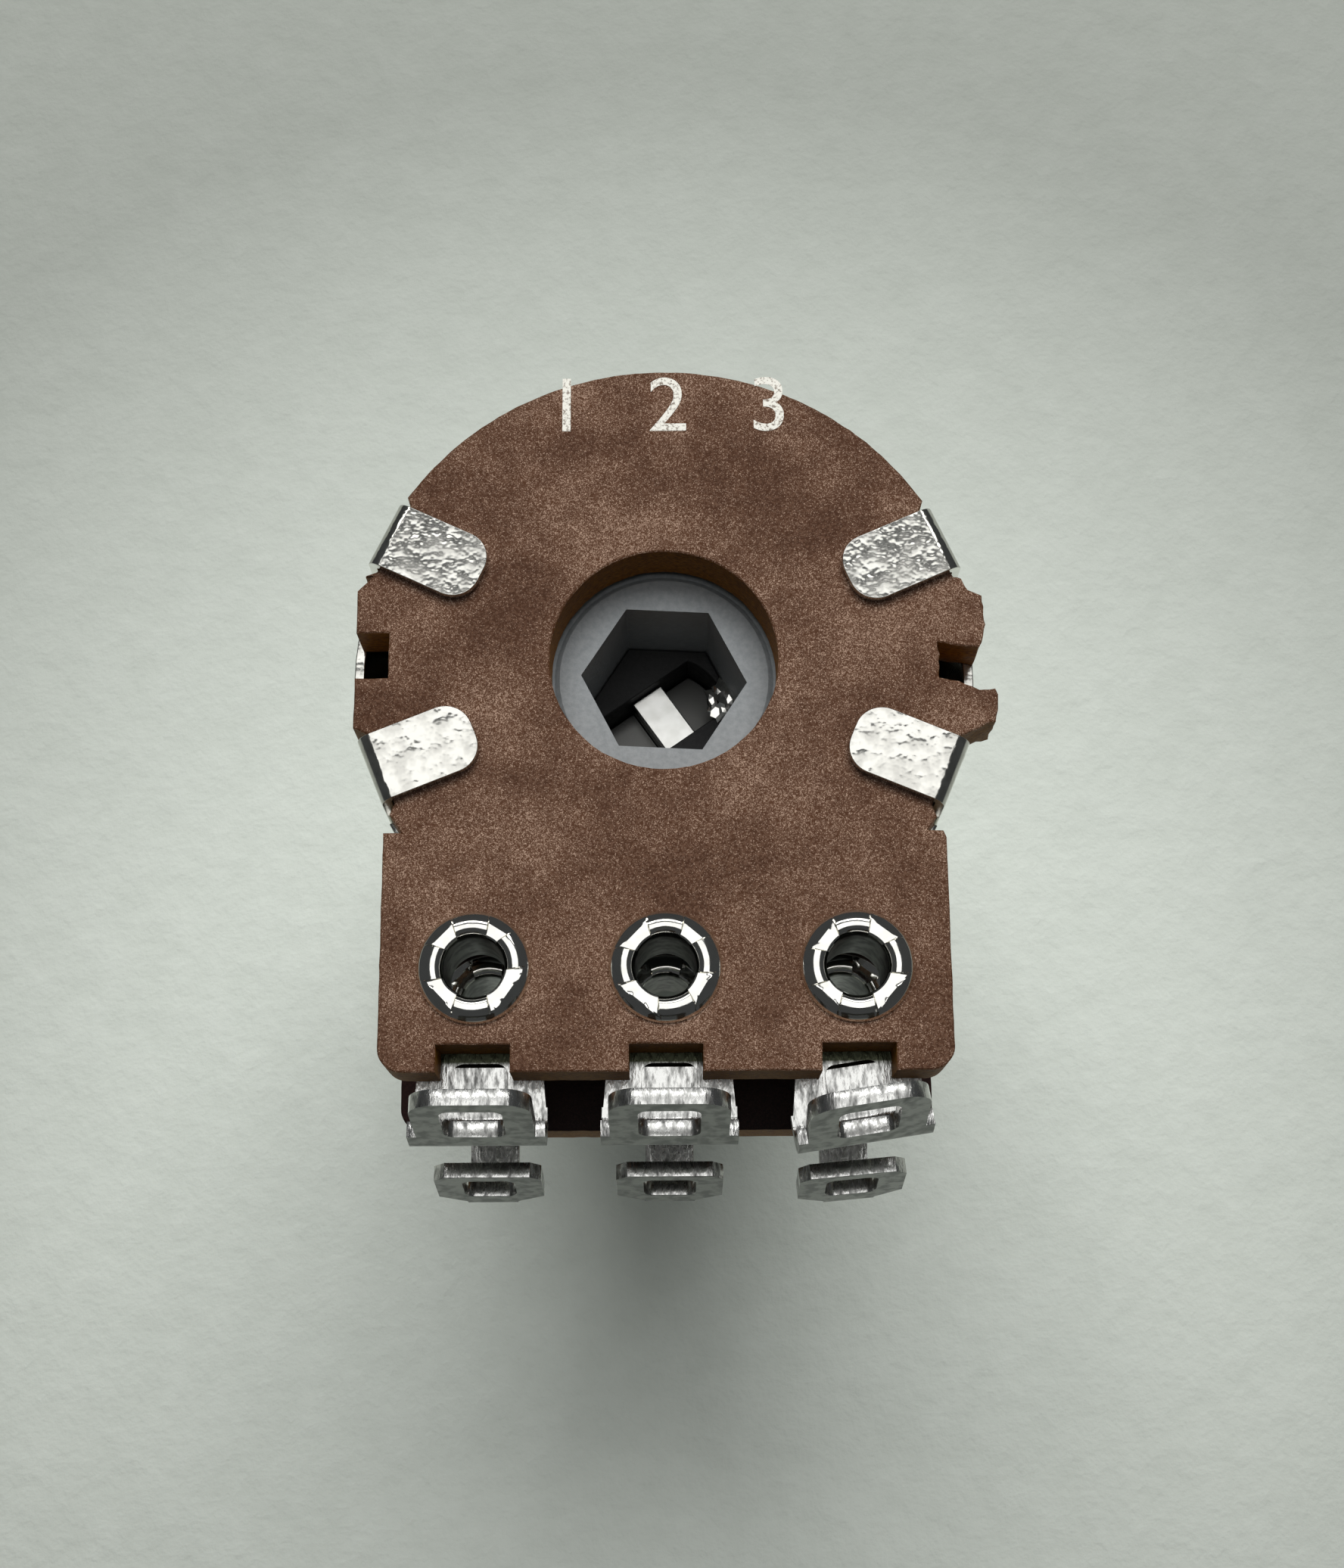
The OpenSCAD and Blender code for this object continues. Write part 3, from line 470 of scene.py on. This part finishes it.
# %% [markdown]
# The two boards are punched from paper laminate. Punching leaves a slightly ragged outline, and the
# right ear of the rear board is broken off. So the outlines of the CAD board's rear face are cut
# into short steps and filled again, and the walls are drawn down from them in a few bands. Then
# each point is nudged by a smooth noise, more strongly along the break. The cut walls show the
# orange-brown core, so they get their own material.

# %% Boards
OUTLINE_STEP, EDGE_SOFT, WALL_BANDS = 0.2, 0.04, 4
# The torn zone of the broken ear, and how far a point moves there and elsewhere
TORN_X, TORN_LOW_Y, TORN_HIGH_Y = 7.35, -2.6, 2.45
TORN_REACH, RAGGED_REACH = 0.075, 0.016


def board_outline(node):
    bm = welded_mesh(node)
    top = max(v.co.z for v in bm.verts)
    cap = [f for f in bm.faces if all(abs(v.co.z - top) < 0.001 * MM for v in f.verts)]
    rest = [f for f in bm.faces if f not in set(cap)]
    bmesh.ops.delete(bm, geom=rest, context="FACES")
    inner = [e for e in bm.edges if not e.is_boundary]
    bmesh.ops.delete(bm, geom=bm.faces[:], context="FACES_ONLY")
    bmesh.ops.delete(bm, geom=[e for e in inner if e.is_valid], context="EDGES")
    bmesh.ops.delete(bm, geom=[v for v in bm.verts if not v.link_edges], context="VERTS")
    return bm, top


def fill_outline(bm):
    steps = {}
    for edge in bm.edges:
        steps.setdefault(int(edge.calc_length() / (OUTLINE_STEP * MM)), []).append(edge)
    for cuts, edges in steps.items():
        if cuts:
            bmesh.ops.subdivide_edges(bm, edges=edges, cuts=cuts)
    bmesh.ops.triangle_fill(bm, edges=bm.edges[:], use_beauty=True, normal=(0, 0, 1))
    for face in bm.faces:
        if face.normal.z < 0:
            face.normal_flip()


def give_thickness(bm, top, thick):
    soft = EDGE_SOFT * MM
    drop = 0.8 * soft
    bmesh.ops.inset_region(bm, faces=bm.faces[:], thickness=soft, depth=0.0,
                           use_even_offset=True, use_boundary=True)
    rim = [v for v in bm.verts if v.is_boundary]
    bmesh.ops.translate(bm, verts=rim, vec=(0, 0, -drop))
    cap = bm.verts[:] + bm.edges[:] + bm.faces[:]
    border = [e for e in bm.edges if e.is_boundary]
    under = bmesh.ops.duplicate(bm, geom=cap)["geom"]
    under_verts = [g for g in under if isinstance(g, bmesh.types.BMVert)]
    for vert in under_verts:
        vert.co.z = 2 * top - thick - vert.co.z
    bmesh.ops.reverse_faces(bm, faces=[g for g in under if isinstance(g, bmesh.types.BMFace)])
    band_height = (thick - 2 * drop) / WALL_BANDS
    for band in range(WALL_BANDS):
        drawn = bmesh.ops.extrude_edge_only(bm, edges=border)["geom"]
        border = [g for g in drawn if isinstance(g, bmesh.types.BMEdge)]
        border = [e for e in border if all(v in drawn for v in e.verts)]
        moved = {v for e in border for v in e.verts}
        bmesh.ops.translate(bm, verts=list(moved), vec=(0, 0, -band_height))
    bmesh.ops.remove_doubles(bm, verts=bm.verts[:], dist=0.002 * MM)
    bmesh.ops.recalc_face_normals(bm, faces=bm.faces[:])


def nudge_points(bm, broken):
    for vert in bm.verts:
        x, y = vert.co.x / MM, vert.co.y / MM
        torn = broken and x > TORN_X and TORN_LOW_Y < y < TORN_HIGH_Y
        reach = TORN_REACH if torn else RAGGED_REACH
        spot = Vector((x * 2.7, y * 4.6, vert.co.z / MM * 2.6)) if torn else Vector((x, y, 0)) * 2.7
        nudge = noise.noise_vector(spot)
        vert.co.x += nudge.x * reach * MM
        vert.co.y += nudge.y * reach * MM


def ragged_board(node, face_material, broken):
    bm, top = board_outline(node)
    fill_outline(bm)
    give_thickness(bm, top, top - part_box(node)[0][2])
    nudge_points(bm, broken)
    for face in bm.faces:
        face.material_index = 0 if abs(face.normal.z) > 0.6 else 1
    open_edges = sum(1 for e in bm.edges if not e.is_manifold)
    piece = finish_piece(bm, node, [face_material, board_edge])
    for face in piece.data.polygons:
        if abs(face.normal.z) > 0.999:
            face.use_smooth = False
    print(node, "faces:", len(piece.data.polygons), "open edges:", open_edges)


ragged_board("rear_wafer", board_face, True)
ragged_board("front_wafer", shade_dark_face, False)

# %% Sheet metal, plastics and lugs
for name in ("housing", "rear_cup"):
    softened(name, [nickel_sheet, struck_nickel], 0.085, 3)
# The lugs' flat faces take the tin darkened as painted shade; faces that look up or sideways take the
# cut tin
for gang in ("rear", "front"):
    for side in ("left", "middle", "right"):
        softened("%s_lug_%s" % (gang, side), [shade_dark_tin, cut_tin], 0.05, sides=True)
softened("rear_rotor", [hub_plastic], 0.05)
softened("front_rotor", [dark_plastic], 0.05)
softened("shaft", [turned_steel], 0.04)

# %% Wipers
# The corner of an arm reaches 8.44 mm in the solids, past the can's inside at 8.32 mm: it is cut back
WIPER_R = 8.2
for name in ("rear_wiper", "front_wiper"):
    bm = merged_mesh(name)
    for vert in bm.verts:
        r = math.hypot(vert.co.x, vert.co.y) / MM
        vert.co.xy *= min(1, WIPER_R / r)
    finish_piece(bm, name, [spring_bronze], 28)
print("wipers now reach", WIPER_R, "mm")

# %% Crumpled burr of bright metal beside the ridge, at the bottom of the hexagonal socket
BURR_AT, BURR_HALF_SIZE = Vector((1.72, 0.36, 7.66)), Vector((0.44, 0.56, 0.16))
bm = bmesh.new()
bmesh.ops.create_icosphere(bm, subdivisions=3, radius=1)
for vert in bm.verts:
    crumple = noise.noise(vert.co * 2.1) + 0.5 * noise.noise(vert.co * 5.3)
    vert.co *= 1 + 0.45 * crumple
    vert.co = (BURR_AT + BURR_HALF_SIZE * vert.co) * MM
burr_mesh = bpy.data.meshes.new("burr")
bm.to_mesh(burr_mesh)
bm.free()
burr_mesh.materials.append(bright_nickel)
burr = bpy.data.objects.new("burr", burr_mesh)
join_frame(burr, "shaft")
print("burr:", len(burr_mesh.polygons), "faces")

# %% [markdown]
# An eyelet is a thin tube whose rim is rolled outwards over the board. A cross-shaped punch then
# flattens four pads into the roll, and leaves four round saddles under its arms, with a fine crack
# at each border. The mesh is a closed ring of columns: each column takes the section of the
# saddle, the pad or the crack that it lies in. The punch never lands quite square, so each eyelet
# has its own list of arms.

# %% Sections of the rolled eyelets
EYELET_R, BORE_R, TUBE_R, HEAD_T, LUG_T = 1.5, 0.8, 1.0, 0.3, 0.43
BOARD_T = (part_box("rear_wafer")[1][2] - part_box("rear_wafer")[0][2]) / MM
# Heights are counted from the board's face. The outer part of both sections follows the roll.
SADDLE_R = [BORE_R, BORE_R, 0.82, 0.86, 0.92, 0.98, 1.05, 1.16, 1.20, 1.32, 1.42, 1.48, EYELET_R]
SADDLE_Z = [-0.12, 0.06, 0.15, 0.22, 0.285, 0.32, 0.33]
PAD_R = [BORE_R, BORE_R, 0.81, 0.835, 0.88, 0.96, 1.05, 1.16, 1.19, 1.36, 1.43, 1.48, EYELET_R]
PAD_Z = [-0.12, 0.07, 0.17, 0.245, 0.28, 0.285, 0.285, 0.285]
# Rings of points at the pad's outer edge, along a crack, and where the roll is a little uneven
PAD_EDGE, CRACK_RINGS, WOBBLE_RINGS = (7, 8), range(3, 9), range(2, 9)
PAD_REACH, PAD_STEP, CRACK_D, WOBBLE = 1.29, 0.03, 0.03, 0.02
ROLL_CREST_R, ROLL_H = 1.03, 0.33
# Tube through board and lug, and the round head behind the lug
HEAD_TOP = -BOARD_T - LUG_T
HEAD_LOW = HEAD_TOP - HEAD_T
FOOT = [(TUBE_R, 0.0), (TUBE_R, HEAD_TOP), (EYELET_R - 0.04, HEAD_TOP),
        (EYELET_R, HEAD_TOP - 0.04), (EYELET_R, HEAD_LOW + 0.04), (EYELET_R - 0.04, HEAD_LOW),
        (BORE_R + 0.04, HEAD_LOW), (BORE_R, HEAD_LOW + 0.04)]
# Places of the columns: -1 to 1 is a saddle, 1 to 2 the pad after it, -1 and 1 are the cracks
PLACES = [-1, -0.96, -0.8, -0.6, -0.4, -0.2, 0, 0.2, 0.4, 0.6, 0.8, 0.96, 1,
          1.02, 1.1, 1.2, 1.3, 1.4, 1.5, 1.6, 1.7, 1.8, 1.9, 1.98]


def roll_height(r):
    out = (r - ROLL_CREST_R) / (EYELET_R - ROLL_CREST_R)
    return ROLL_H * math.sqrt(max(0, 1 - out ** 2))


# In degrees: the punch's arms are nearly as wide outside as inside, so the angle shrinks outwards
def saddle_half_width(r):
    return 25 - 12 * (r - 1)


def section_point(index, place, pad_width):
    saddle_r = SADDLE_R[index]
    saddle_z = SADDLE_Z[index] if index < len(SADDLE_Z) else roll_height(saddle_r)
    if abs(place) < 1:
        return saddle_r, saddle_z
    pad_r = PAD_R[index]
    if index in PAD_EDGE:
        # The pad's outer edge is a straight chord
        off_middle = math.radians((abs(place) - 1.5) * pad_width)
        reach = PAD_REACH + PAD_STEP * PAD_EDGE.index(index)
        pad_r = min(pad_r / math.cos(off_middle), reach)
    pad_z = PAD_Z[index] if index < len(PAD_Z) else roll_height(pad_r)
    if abs(place) == 1:
        depth = CRACK_D if index in CRACK_RINGS else 0
        return (saddle_r + pad_r) / 2, min(saddle_z, pad_z) - depth
    return pad_r, pad_z


def round_axis(r, angle, z):
    turn = math.radians(angle)
    return Vector((r * math.cos(turn), r * math.sin(turn), z)) * MM


def eyelet_column(bm, place, arm, after, seed):
    column = []
    for index, r in enumerate(SADDLE_R):
        half = saddle_half_width(r)
        pad_width = after - arm - 2 * half
        on_pad = place > 1
        angle = arm + half + (place - 1) * pad_width if on_pad else arm + place * half
        r, z = section_point(index, place, pad_width)
        turn = math.radians(angle)
        if index in WOBBLE_RINGS:
            r += WOBBLE * noise.noise(Vector((math.cos(turn) * 1.5, math.sin(turn) * 1.5, seed)))
        column.append(bm.verts.new(round_axis(r, angle, z)))
    for r, z in FOOT:
        column.append(bm.verts.new(round_axis(r, angle, z)))
    return column


# %% The eyelets themselves
def eyelet(node, arms):
    low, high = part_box(node)
    centre = Vector(((low[0] + high[0]) / 2, (low[1] + high[1]) / 2, 0))
    face_z = low[2] - HEAD_LOW * MM
    bm = bmesh.new()
    columns = [eyelet_column(bm, place, arm, after, centre.x / MM)
               for arm, after in zip(arms, arms[1:] + [arms[0] + 360]) for place in PLACES]
    for near, far in zip(columns, columns[1:] + columns[:1]):
        for k in range(len(near)):
            after = (k + 1) % len(near)
            face = bm.faces.new((near[k], near[after], far[after], far[k]))
            # The walls of the bore, at both ends of the column, take the darkened tin as painted shade
            # inside the bore
            face.material_index = int(k in (0, 1, len(near) - 1))
    bmesh.ops.translate(bm, verts=bm.verts[:], vec=centre + Vector((0, 0, face_z)))
    bmesh.ops.recalc_face_normals(bm, faces=bm.faces[:])
    finish_piece(bm, node, [bright_nickel, shade_dark_tin], 28)


# Directions of the punch's arms, in degrees from +X
ARMS = {"left": [20, 94, 176, 268], "middle": [12, 90, 181, 284], "right": [10, 96, 184, 268]}
for gang in ("rear", "front"):
    for side in ("left", "middle", "right"):
        eyelet("%s_eyelet_%s" % (gang, side), ARMS[side])
print("eyelets:", 2 * len(ARMS))

# %% [markdown]
# The bushing hides under the part. Its barrel carries a fine M7 thread for the panel nut. The body is
# one section spun round the axis, and the thread is a small tooth carried down the barrel along a
# helix. It sinks into the barrel at both ends.

# %% Body of the bushing
low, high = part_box("bushing")
BARREL_END, STAKE_TOP = low[2] / MM, high[2] / MM
PLATE, SHEET_TOP, THREAD_R, ROOT_R, BUSH_R, THREAD_PITCH = 1.0, 1.28, 3.5, 3.1, 2.59, 0.75
bm = bmesh.new()
section = [(BUSH_R, BARREL_END + 0.1), (BUSH_R + 0.1, BARREL_END), (ROOT_R - 0.12, BARREL_END),
           (ROOT_R, BARREL_END + 0.12), (ROOT_R, -0.5), (ROOT_R - 0.05, -0.4), (ROOT_R - 0.05, 0.0),
           (5.12, 0.0), (5.2, 0.08), (5.2, PLATE), (3.7, PLATE), (3.7, SHEET_TOP),
           (4.0, SHEET_TOP), (3.85, STAKE_TOP), (BUSH_R, STAKE_TOP)]
verts = [bm.verts.new((r * MM, 0, z * MM)) for r, z in section]
edges = [bm.edges.new((verts[k], verts[(k + 1) % len(verts)])) for k in range(len(verts))]
bmesh.ops.spin(bm, geom=verts + edges, cent=(0, 0, 0), axis=(0, 0, 1), dvec=(0, 0, 0),
               angle=2 * math.pi, steps=96, use_merge=True, use_duplicate=False)
bmesh.ops.remove_doubles(bm, verts=bm.verts[:], dist=0.001 * MM)
print("body faces:", len(bm.faces), "down to", BARREL_END)

# %% Thread
TURNS, STEPS_PER_TURN, FADE_STEPS, START_Z = 7.2, 48, 20, -0.75
TOOTH_FOOT_R = ROOT_R - 0.15
tooth = [(TOOTH_FOOT_R, -0.34), (THREAD_R, -0.05), (THREAD_R, 0.05), (TOOTH_FOOT_R, 0.34)]
steps = int(TURNS * STEPS_PER_TURN)
slices = []
for k in range(steps + 1):
    full = min(1, k / FADE_STEPS, (steps - k) / FADE_STEPS)
    ring = []
    for r, z in tooth:
        r = TOOTH_FOOT_R + (r - TOOTH_FOOT_R) * full
        height = START_Z + z - THREAD_PITCH * k / STEPS_PER_TURN
        ring.append(bm.verts.new(round_axis(r, 360 * k / STEPS_PER_TURN, height)))
    slices.append(ring)
for near, far in zip(slices, slices[1:]):
    for i in range(4):
        bm.faces.new((near[i], near[(i + 1) % 4], far[(i + 1) % 4], far[i]))
bm.faces.new(slices[0])
bm.faces.new(slices[-1])
bmesh.ops.recalc_face_normals(bm, faces=bm.faces[:])
bushing_piece = finish_piece(bm, "bushing", [zinc_casting])
print("bushing faces:", len(bushing_piece.data.polygons))

# %% [markdown]
# Small hidden solids keep their CAD meshes: the printed films and the shaft's clip only need their
# materials.

# %% Materials on the CAD nodes that stay
kept = {"rear_track": carbon_film, "front_track": carbon_film, "rear_collector": silver_film,
        "front_collector": silver_film, "shaft_clip": nickel_sheet}
for node, material in kept.items():
    nodes[node].data.materials.clear()
    nodes[node].data.materials.append(material)
print("kept CAD nodes:", sorted(kept))

# %% [markdown]
# The rear board has a silvery print near its round edge. Plain terminal numbers stand there: a text
# turned into a very thin mesh on the board's face.

# %% Printed terminal numbers
print_face, tree, shader = new_material("print_face", roughness=0.38, specular=0.6)
ink = use_group(tree, grain, Size=0.09)
worn = step_between(tree, ink.outputs["Value"], 0.36, 0.5)
tree.links.new(mix_colours(tree, worn, (0.20, 0.16, 0.12), (0.78, 0.76, 0.68)),
               shader.inputs["Base Color"])
letters = bpy.data.curves.new("numbers", "FONT")
letters.body = "1  2  3"
letters.align_x, letters.align_y = "CENTER", "BOTTOM"
letters.size = 2.35 * MM
letters.extrude = 0.006 * MM
letters.space_character = 1.1
holder = bpy.data.objects.new("numbers_holder", letters)
scene.collection.objects.link(holder)
bpy.context.view_layer.update()
shape = bpy.data.meshes.new_from_object(holder.evaluated_get(bpy.context.evaluated_depsgraph_get()))
bpy.data.objects.remove(holder)
shape.transform(Matrix.Translation((0.15 * MM, 6.23 * MM, REAR_FACE + 0.006 * MM)))
shape.materials.clear()
shape.materials.append(print_face)
numbers = bpy.data.objects.new("printed_numbers", shape)
scene.collection.objects.link(numbers)
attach(numbers, body_of_node("rear_wafer"))
print("numbers:", [round(d / MM, 2) for d in numbers.dimensions])

# %% [markdown]
# The floor is matt paper, a little uneven. Round the part its colour is painted brighter as a painted
# pool of light, and further out it fades to a painted shade.

# %% Floor
bm = bmesh.new()
bmesh.ops.create_grid(bm, x_segments=1, y_segments=1, size=0.6)
bmesh.ops.translate(bm, verts=bm.verts[:], vec=(0, 0, FLOOR_Z))
floor_mesh = bpy.data.meshes.new("floor")
bm.to_mesh(floor_mesh)
bm.free()
floor = bpy.data.objects.new("floor", floor_mesh)
scene.collection.objects.link(floor)
paper, tree, shader = new_material("paper", roughness=0.85, specular=0.3)
weave = use_group(tree, grain, Size=1.6)
tone = step_between(tree, weave.outputs["Value"], 0.3, 0.7)
PAINTED_POOL_CENTRE = (0, -6 * MM, FLOOR_Z)
offset = add_node(tree, "ShaderNodeVectorMath", [(0, object_place(tree)), (1, PAINTED_POOL_CENTRE)],
                  operation="DISTANCE").outputs["Value"]
# Painted light: a lit paper colour near the part and a painted shade further out
painted_pool = step_between(tree, offset, 12 * MM, 42 * MM)
bright = mix_colours(tree, tone, (0.66, 0.705, 0.64), (0.70, 0.745, 0.68))
painted_shade = mix_colours(tree, tone, (0.335, 0.355, 0.32), (0.355, 0.375, 0.34))
tree.links.new(mix_colours(tree, painted_pool, bright, painted_shade), shader.inputs["Base Color"])
tooth = use_group(tree, grain, Size=0.55)
relief = maths(tree, "ADD", weave.outputs["Value"],
               maths(tree, "MULTIPLY", tooth.outputs["Value"], 0.5))
bump(tree, shader, relief, 0.11)
floor_mesh.materials.append(paper)
